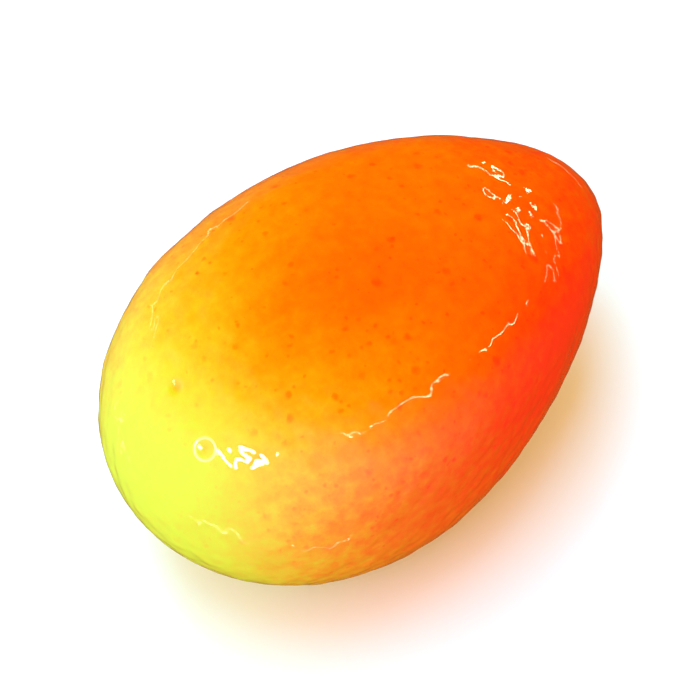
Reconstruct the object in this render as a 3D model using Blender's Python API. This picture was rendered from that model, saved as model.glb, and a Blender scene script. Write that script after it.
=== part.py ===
"""A ripe mango lying on its flatter cheek: one closed body at its real size.

+X runs along the fruit to its narrow end, +Z is up. The origin is at the bottom centre of the box round the
fruit, so the surface that it rests on is z = 0.
"""

import math

import bmesh
import bpy
from mathutils import Matrix, Vector

# Driving dimensions, in metres. The half width and the half thickness are taken midway along the fruit.
HALF_LENGTH = 0.060
HALF_WIDTH = 0.038
HALF_THICKNESS = 0.0315
# A cross-section is a superellipse. Its power is 2, an ellipse, at the two ends, and it grows by this much
# midway, where the two cheeks are flattest.
CHEEK_FLATNESS = 0.85
# Shares of the width and of the thickness that the broad end gains and the narrow end loses.
WIDTH_TAPER = 0.20
THICKNESS_TAPER = 0.12
# Height taken off the lower cheek, where the ripe fruit has settled flat.
FLAT_SPOT_DEPTH = 0.0006

# The stem scar: a shallow round hollow on the upper shoulder of the broad end.
SCAR_DIRECTION = Vector((-0.80, -0.16, 0.58))
SCAR_WIDTH = 0.0043
SCAR_DEPTH = 0.0005

# Facets: about 3.5 mm on the skin, and fine enough in the scar to keep it round.
SEGMENTS_AROUND = 60
SEGMENTS_ALONG = 52
SCAR_SEGMENTS = 40
SCAR_RINGS = 20


def clear_scene():
    for obj in list(bpy.data.objects):
        bpy.data.objects.remove(obj, do_unlink=True)


def skin_point(direction):
    """The point of the skin that one direction of a unit ball is stretched to.

    The ball's circles round the X axis become superellipses, squarer towards the middle of the fruit, and
    their width and thickness taper towards the narrow end.
    """
    along, side, up = direction.normalized()
    circle = math.hypot(side, up)
    power = 2 + CHEEK_FLATNESS * circle**2
    swell = circle / (abs(side) ** power + abs(up) ** power) ** (1 / power) if circle > 0 else 1
    return Vector(
        (
            HALF_LENGTH * along,
            HALF_WIDTH * (1 - WIDTH_TAPER * along) * swell * side,
            HALF_THICKNESS * (1 - THICKNESS_TAPER * along) * swell * up,
        )
    )


def skin_normal(direction):
    """The outward normal of the skin in one direction, from two short steps across it."""
    step = 0.001
    first = direction.orthogonal().normalized() * step
    second = direction.cross(first).normalized() * step
    along_first = skin_point(direction + first) - skin_point(direction - first)
    along_second = skin_point(direction + second) - skin_point(direction - second)
    normal = along_first.cross(along_second).normalized()
    return normal if normal.dot(direction) > 0 else -normal


def skin_material():
    material = bpy.data.materials.new("mango_skin")
    material.use_nodes = True
    shader = material.node_tree.nodes["Principled BSDF"]
    shader.inputs["Base Color"].default_value = (0.95, 0.33, 0.02, 1.0)
    shader.inputs["Roughness"].default_value = 0.3
    shader.inputs["Metallic"].default_value = 0.0
    return material


def cut_flat_spot(bm):
    """Takes a level slice off the lower cheek and closes the cut with one flat face."""
    lowest = min(vertex.co.z for vertex in bm.verts)
    cut = bmesh.ops.bisect_plane(
        bm,
        geom=bm.verts[:] + bm.edges[:] + bm.faces[:],
        plane_co=(0, 0, lowest + FLAT_SPOT_DEPTH),
        plane_no=(0, 0, -1),
        clear_outer=True,
    )
    rim = [item for item in cut["geom_cut"] if isinstance(item, bmesh.types.BMEdge)]
    bmesh.ops.holes_fill(bm, edges=rim, sides=len(rim))


def place_of_middle(bm):
    """Where the fruit's middle goes, so that the origin is at the bottom centre of the box round it."""
    xs, ys, zs = zip(*(vertex.co for vertex in bm.verts))
    return -Vector(((min(xs) + max(xs)) / 2, (min(ys) + max(ys)) / 2, min(zs)))


def build_fruit():
    """The fruit without its scar, and the place of its middle in the part's frame."""
    bm = bmesh.new()
    poles_along_x = Matrix.Rotation(math.radians(90), 4, "Y")
    bmesh.ops.create_uvsphere(
        bm, u_segments=SEGMENTS_AROUND, v_segments=SEGMENTS_ALONG, radius=1, matrix=poles_along_x
    )
    for vertex in bm.verts:
        vertex.co = skin_point(vertex.co)
    cut_flat_spot(bm)
    middle = place_of_middle(bm)
    bmesh.ops.translate(bm, verts=bm.verts, vec=middle)
    bmesh.ops.recalc_face_normals(bm, faces=bm.faces)
    mesh = bpy.data.meshes.new("mango")
    bm.to_mesh(mesh)
    bm.free()
    mesh.shade_smooth()
    mesh.set_sharp_from_angle(angle=math.radians(35))
    mesh.materials.append(skin_material())
    fruit = bpy.data.objects.new("mango", mesh)
    bpy.context.scene.collection.objects.link(fruit)
    return fruit, middle


def cut_stem_scar(fruit, middle):
    """Sinks the scar with a ball whose cap below the skin has the scar's width and depth."""
    radius = ((SCAR_WIDTH / 2) ** 2 + SCAR_DEPTH**2) / (2 * SCAR_DEPTH)
    bm = bmesh.new()
    bmesh.ops.create_uvsphere(bm, u_segments=SCAR_SEGMENTS, v_segments=SCAR_RINGS, radius=radius)
    mesh = bpy.data.meshes.new("scar_cutter")
    bm.to_mesh(mesh)
    bm.free()
    cutter = bpy.data.objects.new("scar_cutter", mesh)
    bpy.context.scene.collection.objects.link(cutter)
    normal = skin_normal(SCAR_DIRECTION)
    cutter.location = middle + skin_point(SCAR_DIRECTION) + normal * (radius - SCAR_DEPTH)
    cutter.rotation_euler = normal.to_track_quat("Z", "Y").to_euler()
    cutter.hide_render = True
    cutter.display_type = "WIRE"
    scar = fruit.modifiers.new("stem_scar", "BOOLEAN")
    scar.operation = "DIFFERENCE"
    scar.object = cutter


clear_scene()
mango, mango_middle = build_fruit()
cut_stem_scar(mango, mango_middle)
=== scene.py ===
"""A whole ripe mango, picked and lying on its flatter cheek on a white table.

All lengths are in metres. +X runs along the fruit to its narrow end, +Z is up, and the fruit rests on z = 0.
"""
import math

import bpy
import numpy as np
from mathutils import Matrix, Vector


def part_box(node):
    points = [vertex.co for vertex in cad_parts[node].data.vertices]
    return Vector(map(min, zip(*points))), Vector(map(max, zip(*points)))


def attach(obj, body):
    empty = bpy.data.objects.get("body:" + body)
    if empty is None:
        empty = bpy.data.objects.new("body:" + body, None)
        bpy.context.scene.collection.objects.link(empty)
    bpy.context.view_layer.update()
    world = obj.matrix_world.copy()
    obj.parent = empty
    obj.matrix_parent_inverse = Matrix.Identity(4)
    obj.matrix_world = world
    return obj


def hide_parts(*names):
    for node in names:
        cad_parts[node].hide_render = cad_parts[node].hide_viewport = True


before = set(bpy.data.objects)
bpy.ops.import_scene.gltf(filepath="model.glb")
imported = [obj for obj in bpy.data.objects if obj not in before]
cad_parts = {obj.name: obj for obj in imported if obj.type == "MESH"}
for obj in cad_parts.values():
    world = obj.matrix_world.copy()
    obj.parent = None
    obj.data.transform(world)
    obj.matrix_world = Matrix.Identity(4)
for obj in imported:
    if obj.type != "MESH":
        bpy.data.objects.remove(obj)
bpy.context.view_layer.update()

# --- The fruit's form ---------------------------------------------------------------------------------------
# The mango grew as one piece: an egg whose two cheeks are flattened, broad at the stem shoulder and narrow at
# the far end. It was cut from its stalk at the shoulder and has settled on a small flat spot underneath.

CHEEK_FLATNESS = 0.85
WIDTH_TAPER = 0.20
THICKNESS_TAPER = 0.12
FLAT_SPOT_DEPTH = 0.0006
STEM_SCAR = np.array((-0.80, -0.16, 0.58))

RINGS = 300
SPOKES = 328
RING_CROWDING = 0.6

box_low, box_high = (np.array(corner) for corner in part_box("mango"))
box_size = box_high - box_low


def unit(vectors):
    """Each vector divided by its length."""
    return vectors / np.linalg.norm(vectors, axis=-1, keepdims=True)


def egg(directions):
    """The plain egg that directions of a unit ball are stretched to, before it is sized.

    A circle of the ball round X becomes a superellipse, whose power is 2 at the ends and 2 plus the cheek
    flatness midway. Its width and thickness shrink in proportion to the distance along the fruit.
    """
    along, side, up = np.moveaxis(unit(directions), -1, 0)
    circle = np.hypot(side, up)
    power = 2 + CHEEK_FLATNESS * circle**2
    reach = (np.abs(side) ** power + np.abs(up) ** power) ** (1 / power)
    swell = np.where(circle > 1e-9, circle / np.maximum(reach, 1e-12), 1)
    width = swell * side * (1 - WIDTH_TAPER * along)
    thickness = swell * up * (1 - THICKNESS_TAPER * along)
    return np.stack((along, width, thickness), axis=-1)


def ring_grid(pole, rings, spokes, crowding):
    """Directions on rings round a pole, with the two unit directions outwards and round at each.

    Ring t of 0 to 1 lies at the angle pi * ((1 - crowding) t + crowding t squared), so the rings crowd
    round the pole. The two poles are single directions at the end of the list.
    """
    share = np.arange(1, rings) / rings
    tilt = math.pi * ((1 - crowding) * share + crowding * share**2)
    turn = np.arange(spokes) * (2 * math.pi / spokes)
    tilt, turn = (grid.ravel() for grid in np.meshgrid(tilt, turn, indexing="ij"))
    tilt = np.append(tilt, (0, math.pi))[:, None]
    turn = np.append(turn, (0, 0))[:, None]
    centre = unit(pole)
    first = unit(np.cross(centre, (0, 1, 0)))
    second = np.cross(centre, first)
    spoke = np.cos(turn) * first + np.sin(turn) * second
    directions = np.cos(tilt) * centre + np.sin(tilt) * spoke
    outwards = np.cos(tilt) * spoke - np.sin(tilt) * centre
    around = np.cos(turn) * second - np.sin(turn) * first
    return directions, outwards, around


def ring_faces(rings, spokes):
    """Four-sided faces between neighbouring rings, and a fan of triangles round each pole."""
    ring, spoke = np.meshgrid(np.arange(rings - 2), np.arange(spokes), indexing="ij")
    following = (spoke + 1) % spokes
    quads = np.stack(
        (
            ring * spokes + spoke,
            (ring + 1) * spokes + spoke,
            (ring + 1) * spokes + following,
            ring * spokes + following,
        ),
        axis=-1,
    ).reshape(-1, 4)
    spoke = np.arange(spokes)
    following = (spoke + 1) % spokes
    last = (rings - 2) * spokes
    near_pole = (rings - 1) * spokes
    near_fan = np.stack((np.full(spokes, near_pole), spoke, following), axis=-1)
    far_fan = np.stack((np.full(spokes, near_pole + 1), last + following, last + spoke), axis=-1)
    return quads.tolist() + near_fan.tolist() + far_fan.tolist()


directions, outwards, around = ring_grid(STEM_SCAR, RINGS, SPOKES, RING_CROWDING)
plain = egg(directions)
size_with_flat_spot = box_size + np.array((0, 0, FLAT_SPOT_DEPTH))
egg_scale = size_with_flat_spot / np.ptp(plain, axis=0)
egg_middle = box_low - plain.min(axis=0) * egg_scale - np.array((0, 0, FLAT_SPOT_DEPTH))


def skin_place(directions):
    """The egg's points at the fruit's real size and place."""
    return egg(directions) * egg_scale + egg_middle


step = 1e-3
skin = skin_place(directions)
skin_normals = unit(
    np.cross(
        skin_place(directions + step * outwards) - skin_place(directions - step * outwards),
        skin_place(directions + step * around) - skin_place(directions - step * around),
    )
)

# --- The skin's relief --------------------------------------------------------------------------------------
# The skin is drawn over uneven flesh, so it is gently lumpy, and close up it has the fine ripple of an
# orange's peel. Each relief is a height in metres along the skin's normal.


def waves(points, wavelength, height, seed, count=48, stretch=(1, 1, 1)):
    """A smooth random ripple: the sum of plane waves of about one length in random directions.

    Its height is a sum of sines with random phases, scaled so that its spread is the height given.
    """
    random = np.random.default_rng(seed)
    heading = unit(random.normal(size=(count, 3)))
    number = 2 * math.pi / wavelength * random.uniform(0.75, 1.3, (count, 1))
    phase = random.uniform(0, 2 * math.pi, count)
    total = np.zeros(len(points))
    for vector, start in zip(heading * number, phase):
        total += np.sin((points / np.array(stretch)) @ vector + start)
    return total * height * math.sqrt(2 / count)


def hollow(points, centre, width, depth, rim=0.0, pit=0.0):
    """A round hollow that falls away as a bell curve, with a raised rim and a small pit in its middle."""
    distance = np.linalg.norm(points - centre, axis=-1) / (width / 2)
    bowl = -depth * np.exp(-(distance**4) * 0.9)
    ring = rim * np.exp(-(((distance - 1.10) / 0.15) ** 2))
    middle = -pit * np.exp(-((distance / 0.28) ** 2))
    return bowl + ring + middle


# direction, width, depth, rim, pit
MARKS = (
    (STEM_SCAR, 0.0040, 0.00030, 0.00014, 0.00022),
    (np.array((-0.736, 0.132, 0.664)), 0.0028, 0.00036, 0.00003, 0.00010),
    (np.array((-0.881, 0.186, 0.435)), 0.0017, 0.00012, 0.00005, 0.0),
)
# wavelength, height, how much longer the ripple is along the fruit, seed
SWELLS = (
    (0.030, 0.00016, 1.2, 3),
    (0.012, 0.00006, 1.2, 5),
)
# wavelength, height, seed
RIPPLES = (
    (0.0056, 0.000026, 7),
    (0.0036, 0.000020, 9),
    (0.0024, 0.000009, 11),
)
FLANK_ROUGHNESS = 0.35

# The peel is smoothest on the upper cheek and a little rougher down the flanks.
height_share = (skin[:, 2] - egg_middle[2]) / (box_size[2] / 2)
flank = np.clip((0.75 - height_share) / 0.9, 0, 1)
flank = flank**2 * (3 - 2 * flank)
relief = np.zeros(len(skin))
for wavelength, height, stretch, seed in SWELLS:
    relief += waves(skin, wavelength, height, seed, stretch=(stretch, 1, 1))
for wavelength, height, seed in RIPPLES:
    relief += (1 + FLANK_ROUGHNESS * flank) * waves(skin, wavelength, height, seed)
for direction, width, depth, rim, pit in MARKS:
    centre = skin_place(direction[None])[0]
    relief += hollow(skin, centre, width, depth, rim, pit)

points = skin + relief[:, None] * skin_normals
points[:, 2] = np.maximum(points[:, 2], box_low[2])

fruit_mesh = bpy.data.meshes.new("mango_fruit")
fruit_mesh.from_pydata(points, [], ring_faces(RINGS, SPOKES))
fruit_mesh.shade_smooth()
fruit = bpy.data.objects.new("mango_fruit", fruit_mesh)
bpy.context.scene.collection.objects.link(fruit)

# --- The skin's finish --------------------------------------------------------------------------------------
# Ripe mango skin under its natural wax: yellow-green where it stayed shaded at the broad shoulder, orange over
# the upper cheek and red towards the narrow end, sprinkled with small redder breathing pores.

RIPENESS_STOPS = (
    # share of ripeness, colour of the skin there
    (0.08, (0.61, 0.79, 0.018)),
    (0.18, (0.67, 0.57, 0.012)),
    (0.30, (0.77, 0.375, 0.004)),
    (0.45, (0.83, 0.212, 0.000)),
    (0.60, (0.84, 0.126, 0.000)),
    (0.75, (0.88, 0.070, 0.000)),
    (0.90, (0.95, 0.037, 0.001)),
    (1.00, (0.95, 0.024, 0.003)),
)
# Ripeness in the middle of the fruit, its slope along each axis, and its fall with the square of each.
RIPENESS_MIDDLE = 0.732
RIPENESS_SLOPE = (0.347, -0.047, 0.053)
RIPENESS_FALL = (0.344, 0.0, 0.382)
# centre as shares of the fruit's half length, width and thickness; reach; added ripeness
SUN_PATCHES = (
    ((-0.28, -0.05, 1.76), 0.75, 0.891),
    ((0.24, -0.52, 0.35), 0.39, 0.374),
    ((1.00, 0.00, 0.25), 0.50, 0.090),
)
BLOTCHES_IN_METRE = 75.0
BLOTCH_RIPENESS = 0.14
MOTTLES_IN_METRE = 360.0
# The mottling's strength falls from the first number to the second between these two heights on the fruit.
MOTTLE_HEIGHTS = (0.35, 0.95)
MOTTLE_RIPENESS = (0.50, 0.22)
# Mottling and pores grow from a quarter to their full strength between these two values of ripeness.
SPECKLED_FROM = (0.12, 0.42)
PORE_WANDER = 0.0014
# cells in a metre, share of the cells left empty, added ripeness in the middle of a pore
PORES = (
    (330.0, 0.74, 0.15),
    (620.0, 0.70, 0.12),
)
# pale colour of a painted highlight on the stem scar's rim
RING_HIGHLIGHT_COLOUR = (0.92, 0.88, 0.30)
# added ripeness in the stem scar and in the pit beside it: painted shade that darkens each hollow's middle
HOLLOW_SHADE_COLOURS = [
    (skin_place(direction[None])[0], width, hollow_shade)
    for (direction, width, *_), hollow_shade in zip(MARKS, (0.02, 0.07))
]


def skin_material():
    """Colour along a ramp of ripeness, which a smooth formula of the place on the fruit gives."""
    material = bpy.data.materials.new("mango_skin")
    material.use_nodes = True
    nodes = material.node_tree.nodes
    links = material.node_tree.links
    shader = nodes["Principled BSDF"]

    def node(kind, **settings):
        made = nodes.new(kind)
        for name, value in settings.items():
            setattr(made, name, value)
        return made

    def math_node(operation, first, second=None, third=None):
        made = node("ShaderNodeMath", operation=operation)
        for socket, value in zip(made.inputs, (first, second, third)):
            if value is None:
                continue
            if isinstance(value, bpy.types.NodeSocket):
                links.new(value, socket)
            else:
                socket.default_value = value
        return made.outputs[0]

    def vector_node(operation, first, second):
        made = node("ShaderNodeVectorMath", operation=operation)
        second_socket = made.inputs["Scale"] if operation == "SCALE" else made.inputs[1]
        for socket, value in ((made.inputs[0], first), (second_socket, second)):
            if isinstance(value, bpy.types.NodeSocket):
                links.new(value, socket)
            else:
                socket.default_value = value
        return made.outputs["Value" if operation in ("DOT_PRODUCT", "DISTANCE") else "Vector"]

    def noise(vector, scale, detail=2.0, roughness=0.5):
        made = node("ShaderNodeTexNoise")
        links.new(vector, made.inputs["Vector"])
        made.inputs["Scale"].default_value = scale
        made.inputs["Detail"].default_value = detail
        made.inputs["Roughness"].default_value = roughness
        return math_node("SUBTRACT", made.outputs["Fac"], 0.5)

    def noise_colour(vector, scale):
        made = node("ShaderNodeTexNoise")
        links.new(vector, made.inputs["Vector"])
        made.inputs["Scale"].default_value = scale
        return vector_node("SUBTRACT", made.outputs["Color"], (0.5, 0.5, 0.5))

    def ramp_node(value, given, wanted):
        """A smooth step from one wanted number to the other as the value crosses the given range."""
        made = node("ShaderNodeMapRange", interpolation_type="SMOOTHSTEP")
        links.new(value, made.inputs["Value"])
        made.inputs["From Min"].default_value, made.inputs["From Max"].default_value = given
        made.inputs["To Min"].default_value, made.inputs["To Max"].default_value = wanted
        return made.outputs["Result"]

    def node_z(vector):
        made = node("ShaderNodeSeparateXYZ")
        links.new(vector, made.inputs["Vector"])
        return made.outputs["Z"]

    place = node("ShaderNodeTexCoord").outputs["Object"]
    # The place on the fruit, from -1 to 1 along each axis.
    centred = node("ShaderNodeMapping", vector_type="TEXTURE")
    links.new(place, centred.inputs["Vector"])
    centred.inputs["Location"].default_value = egg_middle
    centred.inputs["Scale"].default_value = box_size / 2
    share = centred.outputs["Vector"]
    square = vector_node("MULTIPLY", share, share)
    # Ripeness grows towards the narrow end, and most in the patches that the sun reached.
    ripeness = math_node("ADD", vector_node("DOT_PRODUCT", share, RIPENESS_SLOPE), RIPENESS_MIDDLE)
    ripeness = math_node("SUBTRACT", ripeness, vector_node("DOT_PRODUCT", square, RIPENESS_FALL))
    for centre, reach, strength in SUN_PATCHES:
        away = math_node("DIVIDE", vector_node("DISTANCE", share, centre), reach)
        fade = math_node("EXPONENT", math_node("MULTIPLY", math_node("MULTIPLY", away, away), -1.0))
        ripeness = math_node("MULTIPLY_ADD", fade, strength, ripeness)

    # Broad blotches are drawn out along the fruit. The finer mottling is strongest on ripe skin, down the
    # flanks.
    long_grain = node("ShaderNodeMapping")
    links.new(place, long_grain.inputs["Vector"])
    long_grain.inputs["Scale"].default_value = (0.75, 1.0, 1.0)
    grain = long_grain.outputs["Vector"]
    ripeness = math_node("MULTIPLY_ADD", noise(grain, BLOTCHES_IN_METRE), BLOTCH_RIPENESS, ripeness)
    mottle_strength = ramp_node(node_z(share), MOTTLE_HEIGHTS, MOTTLE_RIPENESS)
    ripe_skin = ramp_node(ripeness, SPECKLED_FROM, (0.25, 1.0))
    mottle = math_node("MULTIPLY", noise(place, MOTTLES_IN_METRE, 4.0, 0.62), mottle_strength)
    ripeness = math_node("MULTIPLY_ADD", mottle, ripe_skin, ripeness)

    # The pores are soft redder dots, large and small, each in a cell pattern where most cells have none.
    wander = vector_node("SCALE", noise_colour(place, 480.0), PORE_WANDER)
    wandering = vector_node("ADD", place, wander)
    for density, shown_above, redder in PORES:
        cells = node("ShaderNodeTexVoronoi")
        links.new(wandering, cells.inputs["Vector"])
        cells.inputs["Scale"].default_value = density
        chance = node("ShaderNodeSeparateColor")
        links.new(cells.outputs["Color"], chance.inputs["Color"])
        off_centre = math_node("DIVIDE", cells.outputs["Distance"], chance.outputs["Red"])
        pore = ramp_node(off_centre, (0.08, 0.52), (redder, 0.0))
        shown = math_node("GREATER_THAN", chance.outputs["Green"], shown_above)
        pore = math_node("MULTIPLY", pore, ripe_skin)
        ripeness = math_node("MULTIPLY_ADD", pore, shown, ripeness)

    # Each hollow's middle is coloured riper and darker as painted shade in the recess, and a pale ring, a
    # painted highlight, runs round the stem scar's rim.
    for centre, width, hollow_shade in HOLLOW_SHADE_COLOURS:
        from_middle = vector_node("DISTANCE", place, centre)
        ripeness = math_node("ADD", ripeness, ramp_node(from_middle, (width / 8, width / 2), (hollow_shade, 0.0)))
    # A narrow band round the scar's rim, where the painted highlight goes.
    from_scar = math_node("DIVIDE", vector_node("DISTANCE", place, HOLLOW_SHADE_COLOURS[0][0]), MARKS[0][1] / 2)
    off_ring = math_node("DIVIDE", math_node("SUBTRACT", from_scar, 1.08), 0.13)
    ring = math_node("EXPONENT", math_node("MULTIPLY", math_node("MULTIPLY", off_ring, off_ring), -1.0))

    ramp = node("ShaderNodeValToRGB")
    ramp.color_ramp.interpolation = "B_SPLINE"
    stops = ramp.color_ramp.elements
    while len(stops) < len(RIPENESS_STOPS):
        stops.new(0.5)
    for stop, (position, colour) in zip(stops, RIPENESS_STOPS):
        stop.position = position
        stop.color = (*colour, 1.0)
    links.new(ripeness, ramp.inputs["Fac"])
    # The pale ring colour is a painted highlight, mixed over the skin's colour.
    ring_highlight = node("ShaderNodeMix", data_type="RGBA")
    links.new(math_node("MULTIPLY", ring, 0.75), ring_highlight.inputs["Factor"])
    links.new(ramp.outputs["Color"], ring_highlight.inputs["A"])
    ring_highlight.inputs["B"].default_value = (*RING_HIGHLIGHT_COLOUR, 1.0)
    links.new(ring_highlight.outputs["Result"], shader.inputs["Base Color"])

    bump = node("ShaderNodeBump")
    bump.inputs["Distance"].default_value = 0.00003
    bump.inputs["Strength"].default_value = 0.7
    links.new(noise(grain, 620.0, 3.0), bump.inputs["Height"])
    links.new(bump.outputs["Normal"], shader.inputs["Normal"])
    links.new(bump.outputs["Normal"], shader.inputs["Coat Normal"])

    shader.inputs["Roughness"].default_value = 0.32
    shader.inputs["Specular IOR Level"].default_value = 0.0
    shader.inputs["IOR"].default_value = 1.45
    shader.inputs["Coat Weight"].default_value = 1.0
    shader.inputs["Coat Roughness"].default_value = 0.012
    shader.inputs["Coat IOR"].default_value = 1.45
    shader.inputs["Subsurface Weight"].default_value = 0.08
    shader.inputs["Subsurface Radius"].default_value = (1.0, 0.4, 0.12)
    shader.inputs["Subsurface Scale"].default_value = 0.002
    return material


fruit_mesh.materials.append(skin_material())
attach(fruit, "root")
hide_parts("mango")

# --- The table ----------------------------------------------------------------------------------------------
# A plain white table top, far wider than the fruit, that the fruit rests on.

TABLE_HALF = 4.0
table_mesh = bpy.data.meshes.new("table_top")
corners = [(-TABLE_HALF, -TABLE_HALF, 0), (TABLE_HALF, -TABLE_HALF, 0), (TABLE_HALF, TABLE_HALF, 0)]
corners.append((-TABLE_HALF, TABLE_HALF, 0))
table_mesh.from_pydata(corners, [], [(0, 1, 2, 3)])
table = bpy.data.objects.new("table_top", table_mesh)
bpy.context.scene.collection.objects.link(table)
table_paint = bpy.data.materials.new("white_table")
table_paint.use_nodes = True
paint = table_paint.node_tree.nodes["Principled BSDF"]
paint.inputs["Base Color"].default_value = (0.9, 0.9, 0.9, 1.0)
paint.inputs["Roughness"].default_value = 0.9
paint.inputs["Specular IOR Level"].default_value = 0.1
table_mesh.materials.append(table_paint)
table.visible_glossy = False

# --- The camera ---------------------------------------------------------------------------------------------
# A long lens that looks down on the broad shoulder and along the fruit.

CAMERA_AZIMUTH = math.radians(-42.6)
CAMERA_ELEVATION = math.radians(57.0)
CAMERA_DISTANCE = 0.55
AIM_ASIDE = (-0.0034, -0.0016)

camera_data = bpy.data.cameras.new("camera")
camera_data.lens = 139.0
camera_data.sensor_width = 36.0
camera = bpy.data.objects.new("camera", camera_data)
bpy.context.scene.collection.objects.link(camera)
towards_camera = Vector(
    (
        math.sin(CAMERA_AZIMUTH) * math.cos(CAMERA_ELEVATION),
        -math.cos(CAMERA_AZIMUTH) * math.cos(CAMERA_ELEVATION),
        math.sin(CAMERA_ELEVATION),
    )
)
screen_right = Vector((math.cos(CAMERA_AZIMUTH), math.sin(CAMERA_AZIMUTH), 0.0))
screen_up = towards_camera.cross(screen_right)
camera.location = Vector(egg_middle) + towards_camera * CAMERA_DISTANCE
aim = Vector(egg_middle) + screen_right * AIM_ASIDE[0] + screen_up * AIM_ASIDE[1]
camera.rotation_euler = (camera.location - aim).to_track_quat("Z", "Y").to_euler()
bpy.context.scene.camera = camera

# --- The light ----------------------------------------------------------------------------------------------
# A warm even room and three big cool panels on the side away from the shadow light the fruit, and small bright
# strips make the sparkle on the waxed skin.


def from_fruit(azimuth, elevation):
    """A direction from the fruit: azimuth in degrees right of the camera's side, elevation above the table."""
    turn = math.radians(azimuth)
    rise = math.radians(elevation)
    level = screen_right * math.sin(turn) + Vector((-screen_right.y, screen_right.x, 0)) * -math.cos(turn)
    return level * math.cos(rise) + Vector((0, 0, math.sin(rise)))


def panel(name, start, end, distance, thickness, length=None):
    """A flat light panel that faces the fruit, its long side running from one direction to another."""
    ends = [Vector(egg_middle) + from_fruit(*corner) * distance for corner in (start, end)]
    centre = (ends[0] + ends[1]) / 2
    back = (centre - Vector(egg_middle)).normalized()
    run = ends[1] - ends[0]
    along = (run - back * run.dot(back)).normalized()
    data = bpy.data.lights.new(name, "AREA")
    data.shape = "RECTANGLE"
    data.size = length or run.length
    data.size_y = thickness
    data.energy = math.pi * data.size * data.size_y
    light = bpy.data.objects.new(name, data)
    turned = Matrix((along, back.cross(along), back)).transposed().to_4x4()
    light.matrix_world = Matrix.Translation(centre) @ turned
    bpy.context.scene.collection.objects.link(light)
    return light


PANEL_DISTANCE = 1.3
PANEL_SIDE = 0.8
PANEL_HALF_TURN = 20
# name, azimuth, elevation, radiance of each colour
SOFT_PANELS = (
    ("panel_left", -45, 45, (2.45, 1.15, 4.10)),
    ("panel_back", -160, 45, (1.25, 2.75, 5.45)),
    ("panel_above", -110, 75, (0.10, 4.15, 6.90)),
)
for name, azimuth, elevation, radiance in SOFT_PANELS:
    start = (azimuth - PANEL_HALF_TURN, elevation)
    end = (azimuth + PANEL_HALF_TURN, elevation)
    soft = panel(name, start, end, PANEL_DISTANCE, PANEL_SIDE, PANEL_SIDE)
    soft.data.color = radiance
    soft.visible_glossy = False

STRIP_DISTANCE = 1.5
STRIP_TINT = (1.0, 0.90, 0.50)
# name, start (azimuth, elevation), end, thickness, radiance
STRIPS = (
    ("strip_shoulder", (-58, 38), (-32, 40), 0.110, 90.0),
    ("strip_cheek", (14, 57), (45, 51), 0.018, 42.0),
    ("strip_cheek_right", (52, 50), (73, 42), 0.016, 42.0),
    ("strip_side", (89, 30), (104, 21), 0.024, 40.0),
    ("strip_end", (126, 24), (145, 20), 0.016, 36.0),
    ("strip_end_far", (151, 18), (163, 8), 0.018, 36.0),
    ("strip_outer", (110, 6), (140, 12), 0.010, 24.0),
    ("strip_tip", (146, -22), (162, -21), 0.020, 6.0),
    ("strip_far_edge", (-159, -12), (-117, 19), 0.025, 4.0),
    ("strip_left_edge", (-104, -14), (-90, -26), 0.012, 10.0),
    ("strip_low_left", (-45, -10), (-22, -22), 0.008, 60.0),
    ("strip_low_front", (8, -36), (32, -44), 0.008, 30.0),
)
for name, start, end, thickness, radiance in STRIPS:
    strip = panel(name, start, end, STRIP_DISTANCE, thickness)
    strip.data.energy *= radiance
    strip.data.color = STRIP_TINT
    strip.visible_diffuse = False


# azimuth and elevation of the mirrored room's dark side and bright corner, and the colours of its light
DARK_SIDE = (149, 40)
BRIGHT_CORNER = (-40, 57)
DARK_WALL = (0.30, 0.08, 0.010)
BRIGHT_WALL = (2.30, 2.15, 2.0)
EVEN_ROOM = (1.06, 0.90, 0.38)


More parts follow.
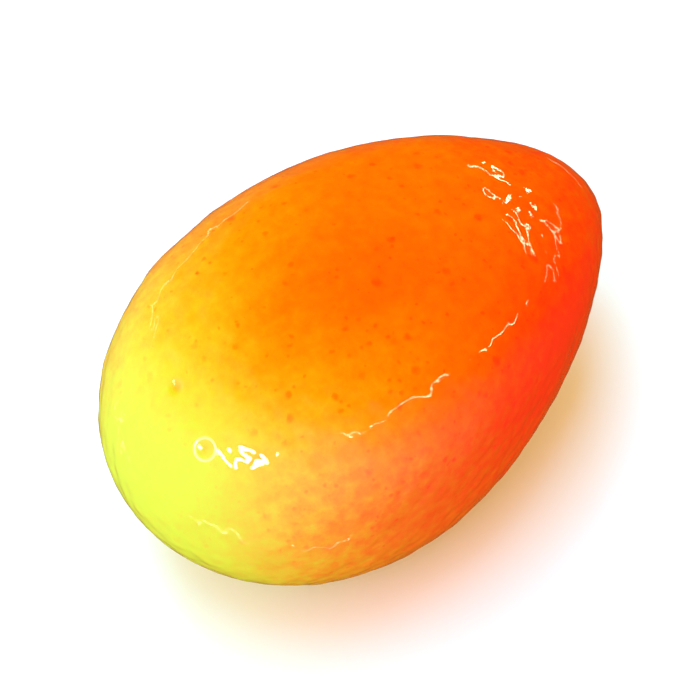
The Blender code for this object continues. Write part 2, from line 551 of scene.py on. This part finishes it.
def room_light():
    """An even warm white lights the fruit, and a room with one dark side is what its wax mirrors.

    The mirrored brightness is a ramp of the angle from the middle of the dark side, times a ramp that
    brightens towards the bright corner.
    """
    world = bpy.data.worlds.new("white_room")
    bpy.context.scene.world = world
    world.use_nodes = True
    nodes = world.node_tree.nodes
    links = world.node_tree.links
    direction = nodes.new("ShaderNodeTexCoord").outputs["Generated"]

    def towards(target, low, high):
        """A ramp of the cosine of the angle from one direction, from 0 at the low cosine to 1 at the high."""
        cosine = nodes.new("ShaderNodeVectorMath")
        cosine.operation = "DOT_PRODUCT"
        links.new(direction, cosine.inputs[0])
        cosine.inputs[1].default_value = target
        ramp = nodes.new("ShaderNodeMapRange")
        ramp.interpolation_type = "SMOOTHSTEP"
        links.new(cosine.outputs["Value"], ramp.inputs["Value"])
        ramp.inputs["From Min"].default_value = low
        ramp.inputs["From Max"].default_value = high
        return ramp

    dark_side = towards(from_fruit(*DARK_SIDE), -0.33, 0.62)
    dark_side.inputs["To Min"].default_value = 1.0
    dark_side.inputs["To Max"].default_value = 0.0
    bright_corner = towards(from_fruit(*BRIGHT_CORNER), -1.08, 1.01)
    brightness = nodes.new("ShaderNodeMath")
    brightness.operation = "MULTIPLY"
    links.new(dark_side.outputs["Result"], brightness.inputs[0])
    links.new(bright_corner.outputs["Result"], brightness.inputs[1])
    walls = nodes.new("ShaderNodeMix")
    walls.data_type = "RGBA"
    links.new(brightness.outputs["Value"], walls.inputs["Factor"])
    walls.inputs["A"].default_value = (*DARK_WALL, 1.0)
    walls.inputs["B"].default_value = (*BRIGHT_WALL, 1.0)
    mirrored = nodes["Background"]
    links.new(walls.outputs["Result"], mirrored.inputs["Color"])
    even = nodes.new("ShaderNodeBackground")
    even.inputs["Color"].default_value = (*EVEN_ROOM, 1.0)
    even.inputs["Strength"].default_value = 1.0
    ray = nodes.new("ShaderNodeLightPath")
    mix = nodes.new("ShaderNodeMixShader")
    links.new(ray.outputs["Is Glossy Ray"], mix.inputs["Fac"])
    links.new(even.outputs["Background"], mix.inputs[1])
    links.new(mirrored.outputs["Background"], mix.inputs[2])
    links.new(mix.outputs["Shader"], nodes["World Output"].inputs["Surface"])


room_light()
bpy.context.scene.view_settings.view_transform = "Standard"
